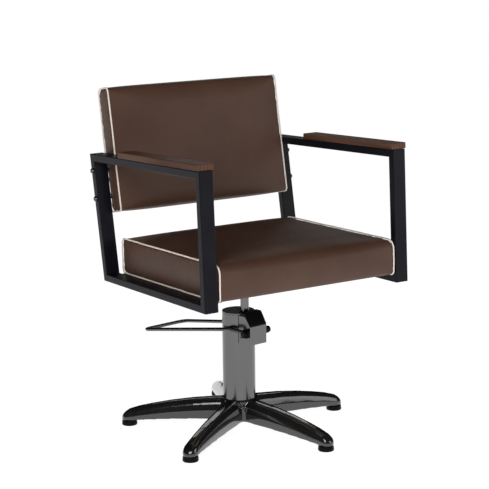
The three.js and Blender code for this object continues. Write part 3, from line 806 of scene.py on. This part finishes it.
def make_side_frame(side):
    nodes = [f"{part}_tube_{side}" for part in ("bottom", "front", "arm", "rear")]
    inverse = SEAT_SPACE.inverted()
    points = [inverse @ v.co for n in nodes for v in frame["nodes"][n].data.vertices]
    corners = [min(points, key=lambda p: p.y + p.z), max(points, key=lambda p: p.y - p.z),
               max(points, key=lambda p: p.y + p.z), min(points, key=lambda p: p.y - p.z)]
    corners = [Vector((c.y, c.z)) for c in corners]
    low_x, high_x = min(p.x for p in points), max(p.x for p in points)
    bottom_low, bottom_high = local_box([nodes[0]], SEAT_SPACE)
    thick = bottom_high.z - bottom_low.z
    section = tube_section((high_x - low_x) / 2, thick / 2, TUBE_CORNER_R)
    middle_x = (low_x + high_x) / 2
    rings = []
    for i, corner in enumerate(corners):
        back = (corners[i - 1] - corner).normalized()
        onward = (corners[(i + 1) % 4] - corner).normalized()
        inward = (back + onward).normalized()
        stretch = 1 / math.sin(back.angle(onward) / 2)
        centre_line = corner + inward * (thick / 2) * stretch
        rings.append([Vector((middle_x + u, *(centre_line - inward * v * stretch))) for u, v in section])
    sides = len(section)
    faces = []
    for i in range(4):
        here, following = i * sides, (i + 1) % 4 * sides
        for k in range(sides):
            m = (k + 1) % sides
            faces.append((here + k, here + m, following + m, following + k))
    name = f"side_frame_{side}"
    form = bmesh.new()
    form.from_mesh(face_out(mesh_from(name, [SEAT_SPACE @ p for ring in rings for p in ring], faces)))
    mitres = [e for e in form.edges if e.calc_face_angle(0) > math.radians(50)]
    bmesh.ops.bevel(form, geom=mitres, offset=MITRE_EASE, segments=2, profile=0.5, affect="EDGES")
    finish_hard(name, mesh_of(name, form), nodes)


def make_armrest(side):
    node = f"armrest_pad_{side}"
    low, high = local_box([node], ARM_SPACE)
    form = softened(low, high, ARMREST_EDGE_R)
    form.transform(ARM_SPACE)
    finish_hard(f"armrest_board_{side}", mesh_of(node, form), [node], sharp=60)


for side in SIDES:
    make_side_frame(side)
    make_armrest(side)


# ---- Star base -----------------------------------------------------------------------------------
CROTCH_R = 0.0485  # where two legs' sides meet, from the column's centre
RIB_R = 0.0048
RIB_FOOT, RIB_TOP = 0.030, 0.066
CASTING_VOXEL = 0.0021
CASTING_PASSES = 8
GLIDE_FOOT = 0.014  # height of the glide's pad under its stem
GLIDE_COLLAR_R = 0.0074


def crotch_rib(number):
    """The round upright rib that fills the corner between two legs."""
    angle = FIRST_LEG_ANGLE + LEG_TURN * (number + 0.5)
    place = Matrix.Translation((COLUMN.x + CROTCH_R * math.cos(angle),
                                COLUMN.y + CROTCH_R * math.sin(angle), 0))
    dome = [(RIB_R * math.cos(math.radians(a)), RIB_TOP + RIB_R * math.sin(math.radians(a)))
            for a in (0, 30, 60)]
    return lathe("rib", [(0, RIB_FOOT), (RIB_R, RIB_FOOT), *dome, (0, RIB_TOP + RIB_R)], place, 20)


cast("star_casting", ["star_base"], CASTING_VOXEL, CASTING_PASSES,
     [crotch_rib(number) for number in range(LEGS)])


def make_glide(number):
    node = f"foot_glide_{number}"
    low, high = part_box(node)
    radius, top = (high.x - low.x) / 2, high.z - low.z
    profile = [(0, 0), (radius - 0.0030, 0), (radius - 0.0008, 0.0008), (radius, 0.0030),
               (radius - 0.0002, 0.0050), (radius - 0.0012, GLIDE_FOOT - 0.0014),
               (radius - 0.0020, GLIDE_FOOT - 0.0004), (radius - 0.0030, GLIDE_FOOT),
               (GLIDE_COLLAR_R + 0.0004, GLIDE_FOOT), (GLIDE_COLLAR_R, GLIDE_FOOT + 0.0006),
               (GLIDE_COLLAR_R, top - 0.0006), (GLIDE_COLLAR_R - 0.0006, top), (0, top)]
    middle = (low + high) / 2
    mesh = lathe(f"glide_{number}", profile, Matrix.Translation((middle.x, middle.y, low.z)), 64)
    finish_hard(f"glide_{number}", mesh, [node])


for number in range(1, LEGS + 1):
    make_glide(number)


# ---- Pump ----------------------------------------------------------------------------------------
PEDAL_ROD_R = 0.005
PEDAL_BEND = 0.020
EYE_X = 0.029  # inner face of the pedal's eyes, from the pump's middle plane
EYE_WIDE = 0.012
EYE_R = 0.0095
EYE_BORE_R = 0.0053


def make_pedal():
    low, high = local_box(["pedal_loop"], PUMP_SPACE)
    shaft_low, shaft_high = local_box(["pedal_shaft"], PUMP_SPACE)
    pivot = (shaft_low + shaft_high) / 2
    wide, reach = high.x - PEDAL_ROD_R, high.y - PEDAL_ROD_R
    drop = low.z + PEDAL_ROD_R
    near = EYE_X + EYE_WIDE / 2
    half = [Vector((near, pivot.y, pivot.z)), Vector((near + 0.0005, pivot.y + 0.013, pivot.z + 0.003)),
            Vector((near + 0.016, pivot.y + 0.040, pivot.z + 0.008)), Vector((wide, reach, drop))]
    corners = [Vector((-p.x, p.y, p.z)) for p in half] + half[::-1]
    points, faces = sweep(bent(corners, PEDAL_BEND), circle(PEDAL_ROD_R), Vector((0, 0, 1)))
    mesh = face_out(mesh_from("pedal_rod", [PUMP_SPACE @ p for p in points], faces))
    finish_hard("pedal_rod", mesh, ["pedal_loop"], sharp=60)
    profile = [(EYE_BORE_R, 0), (EYE_R - 0.001, 0), (EYE_R, 0.001), (EYE_R, EYE_WIDE - 0.001),
               (EYE_R - 0.001, EYE_WIDE), (EYE_BORE_R, EYE_WIDE), (EYE_BORE_R, 0)]
    for side, sign in SIDES.items():
        name = f"pedal_eye_{side}"
        eye = looking(PUMP_SPACE @ Vector((sign * EYE_X, pivot.y, pivot.z)),
                      PUMP_TURNED @ Vector((sign, 0, 0)))
        link(name, lathe(name, profile, eye, 40), "black_plastic", "pedal")


make_pedal()


# ---- Pump trim -----------------------------------------------------------------------------------
ANCHOR = Vector((-0.0277, -0.030, 0.2585))  # the return spring's screw, in pump space
SPRING_WIRE_R = 0.0011
SPRING_COIL_R = 0.0112
SPRING_START_X = -0.0298
SPRING_PITCH = -0.0026
SPRING_TURNS = 3
SPRING_FIRST = math.radians(-70)
SPRING_STEPS = 26  # points along one turn
SPRING_TAIL = Vector((-0.0004, 0.013, -0.0012))
SCREW_R, SCREW_HEIGHT = 0.0030, 0.0034
PLUNGER_WIRE_R = 0.0007
PLUNGER_COIL_R = 0.0036
PLUNGER_TURNS = 3
PLUNGER_STEPS = 24


def make_return_spring():
    """A coil round the pedal's pivot, held by a screw in the side of the head."""
    shaft_low, shaft_high = local_box(["pedal_shaft"], PUMP_SPACE)
    pivot = (shaft_low + shaft_high) / 2
    path = [Vector((SPRING_START_X, ANCHOR.y, ANCHOR.z))]
    for i in range(SPRING_STEPS * SPRING_TURNS + 1):
        angle = SPRING_FIRST - math.tau * i / SPRING_STEPS
        path.append(Vector((SPRING_START_X + SPRING_PITCH * i / SPRING_STEPS,
                            pivot.y + SPRING_COIL_R * math.cos(angle),
                            pivot.z + SPRING_COIL_R * math.sin(angle))))
    path.append(path[-1] + SPRING_TAIL)
    points, faces = sweep(path, circle(SPRING_WIRE_R, 10), Vector((1, 0, 0.01)))
    mesh = face_out(mesh_from("return_spring", [PUMP_SPACE @ p for p in points], faces))
    link("return_spring", mesh, "black_plastic", "pedal")


def button_head(name, place, direction, radius, height, slot, body):
    """A domed screw head with a six-sided key socket."""
    socket = radius * 0.42
    profile = [(0, 0), (radius, 0), (radius, height * 0.35), (radius * 0.93, height * 0.62),
               (radius * 0.78, height * 0.86), (radius * 0.60, height), (socket * 1.12, height),
               (socket, height * 0.96), (socket, height * 0.35), (0, height * 0.35)]
    mesh = lathe(name, profile, looking(place, direction), 48, hexagon=(7, 8))
    mesh.set_sharp_from_angle(angle=math.radians(40))
    link(name, mesh, slot, body)


def make_plunger_spring():
    """The coil spring under the plunger, wound to the height of its CAD node."""
    low, high = local_box(["plunger_spring"], PUMP_SPACE)
    middle, steps = (low + high) / 2, PLUNGER_STEPS * PLUNGER_TURNS
    rise = high.z - low.z - 2 * PLUNGER_WIRE_R
    path = []
    for i in range(steps + 1):
        angle = math.tau * i / PLUNGER_STEPS
        path.append(Vector((middle.x + PLUNGER_COIL_R * math.cos(angle),
                            middle.y + PLUNGER_COIL_R * math.sin(angle),
                            low.z + PLUNGER_WIRE_R + rise * i / steps)))
    points, faces = sweep(path, circle(PLUNGER_WIRE_R, 10), Vector((0, 0, 1)))
    mesh = face_out(mesh_from("plunger_coil", [PUMP_SPACE @ p for p in points], faces))
    coil = finish_hard("plunger_coil", mesh, ["plunger_spring"], sharp=60)
    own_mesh(coil)


make_return_spring()
make_plunger_spring()
button_head("anchor_screw", PUMP_SPACE @ ANCHOR, PUMP_TURNED @ Vector((-1, 0, 0)), SCREW_R,
            SCREW_HEIGHT, "black_plastic", "root")


# ---- Under the seat: the plywood board in its stapled leather margin --------------------------------
MARGIN = 0.030
PANEL_LOW, PANEL_HIGH = 0.0004, 0.0060  # the bare board's faces, above the seat's underside
STAPLE_STEP = 0.032
STAPLE_INSET = MARGIN - 0.009
STAPLE_HALF_LONG, STAPLE_HALF_WIDE, STAPLE_HALF_HIGH = 0.005, 0.0004, 0.0006
STAPLE_RISE = 0.0008


def make_seat_underside():
    low, high = local_box(["seat_board"], SEAT_SPACE)
    board_low = Vector((low.x + MARGIN, low.y + MARGIN, low.z + PANEL_LOW))
    board_high = Vector((high.x - MARGIN, high.y - MARGIN, low.z + PANEL_HIGH))
    form = softened(board_low, board_high, 0.0004, 1)
    form.transform(SEAT_SPACE)
    finish_hard("seat_board_panel", mesh_of("seat_board_panel", form), ["seat_board"], sharp=30)
    staples = bmesh.new()
    for along in (0, 1):
        length = (high - low)[along] - 2 * STAPLE_INSET
        count = round(length / STAPLE_STEP)
        for edge in (low[1 - along] + STAPLE_INSET, high[1 - along] - STAPLE_INSET):
            for i in range(1, count):
                spot = Vector((0, 0, low.z + STAPLE_RISE))
                spot[along] = low[along] + STAPLE_INSET + length * i / count
                spot[1 - along] = edge
                half = Vector((STAPLE_HALF_WIDE, STAPLE_HALF_WIDE, STAPLE_HALF_HIGH))
                half[along] = STAPLE_HALF_LONG
                staple = softened(spot - half, spot + half, 0.0002, 2)
                staples.from_mesh(mesh_of("staple", staple))
    staples.transform(SEAT_SPACE)
    mesh = mesh_of("seat_staples", staples)
    mesh.shade_smooth()
    link("seat_staples", mesh, "steel", "seat")


make_seat_underside()


# ---- Rear of the back: a leather-covered panel pressed in between the seams -------------------------
COVER_INSET = 0.011
COVER_THICK = 0.0035
COVER_EDGE_R = 0.0016
COVER_CROWN = 0.0030


def make_back_cover():
    low, high = local_box(["back_cover"], BACK_SPACE)
    inset = Vector((COVER_INSET, 0, COVER_INSET))
    low, high = low + inset, high - inset
    low.y = high.y - COVER_THICK
    form = softened(low, high, COVER_EDGE_R, 3)
    big = [e for e in form.edges if e.calc_length() > 0.1]
    bmesh.ops.subdivide_edges(form, edges=big, cuts=15, use_grid_fill=True)
    middle, size = (low + high) / 2, (high - low) / 2
    for vertex in form.verts:
        u, w = (vertex.co.x - middle.x) / size.x, (vertex.co.z - middle.z) / size.z
        if vertex.co.y > middle.y:
            vertex.co.y += COVER_CROWN * max(0, 1 - u ** 4) * max(0, 1 - w ** 4)
    form.transform(BACK_SPACE)
    finish_hard("back_cover_panel", mesh_of("back_cover_panel", form), ["back_cover"], sharp=80)


make_back_cover()


# ---- All other hardware keeps its CAD form, with worked edges --------------------------------------
EDGE_EASE = {
    "pump_head": 0.0016, "pump_casing": 0.0005, "casing_cap": 0.0007, "head_cover": 0.0009,
    "seat_plate": 0.0006, "cross_bar_front": 0.0012, "cross_bar_rear": 0.0012, "piston_rod": 0.0008,
    "rod_seal": 0.0008, "pedal_cap_left": 0.0012, "pedal_cap_right": 0.0012,
}
SMALL_EASE = 0.0004
shown = [name for name, node in frame["nodes"].items() if not node.hide_render]
for name in shown:
    eased(name, EDGE_EASE.get(name, SMALL_EASE))
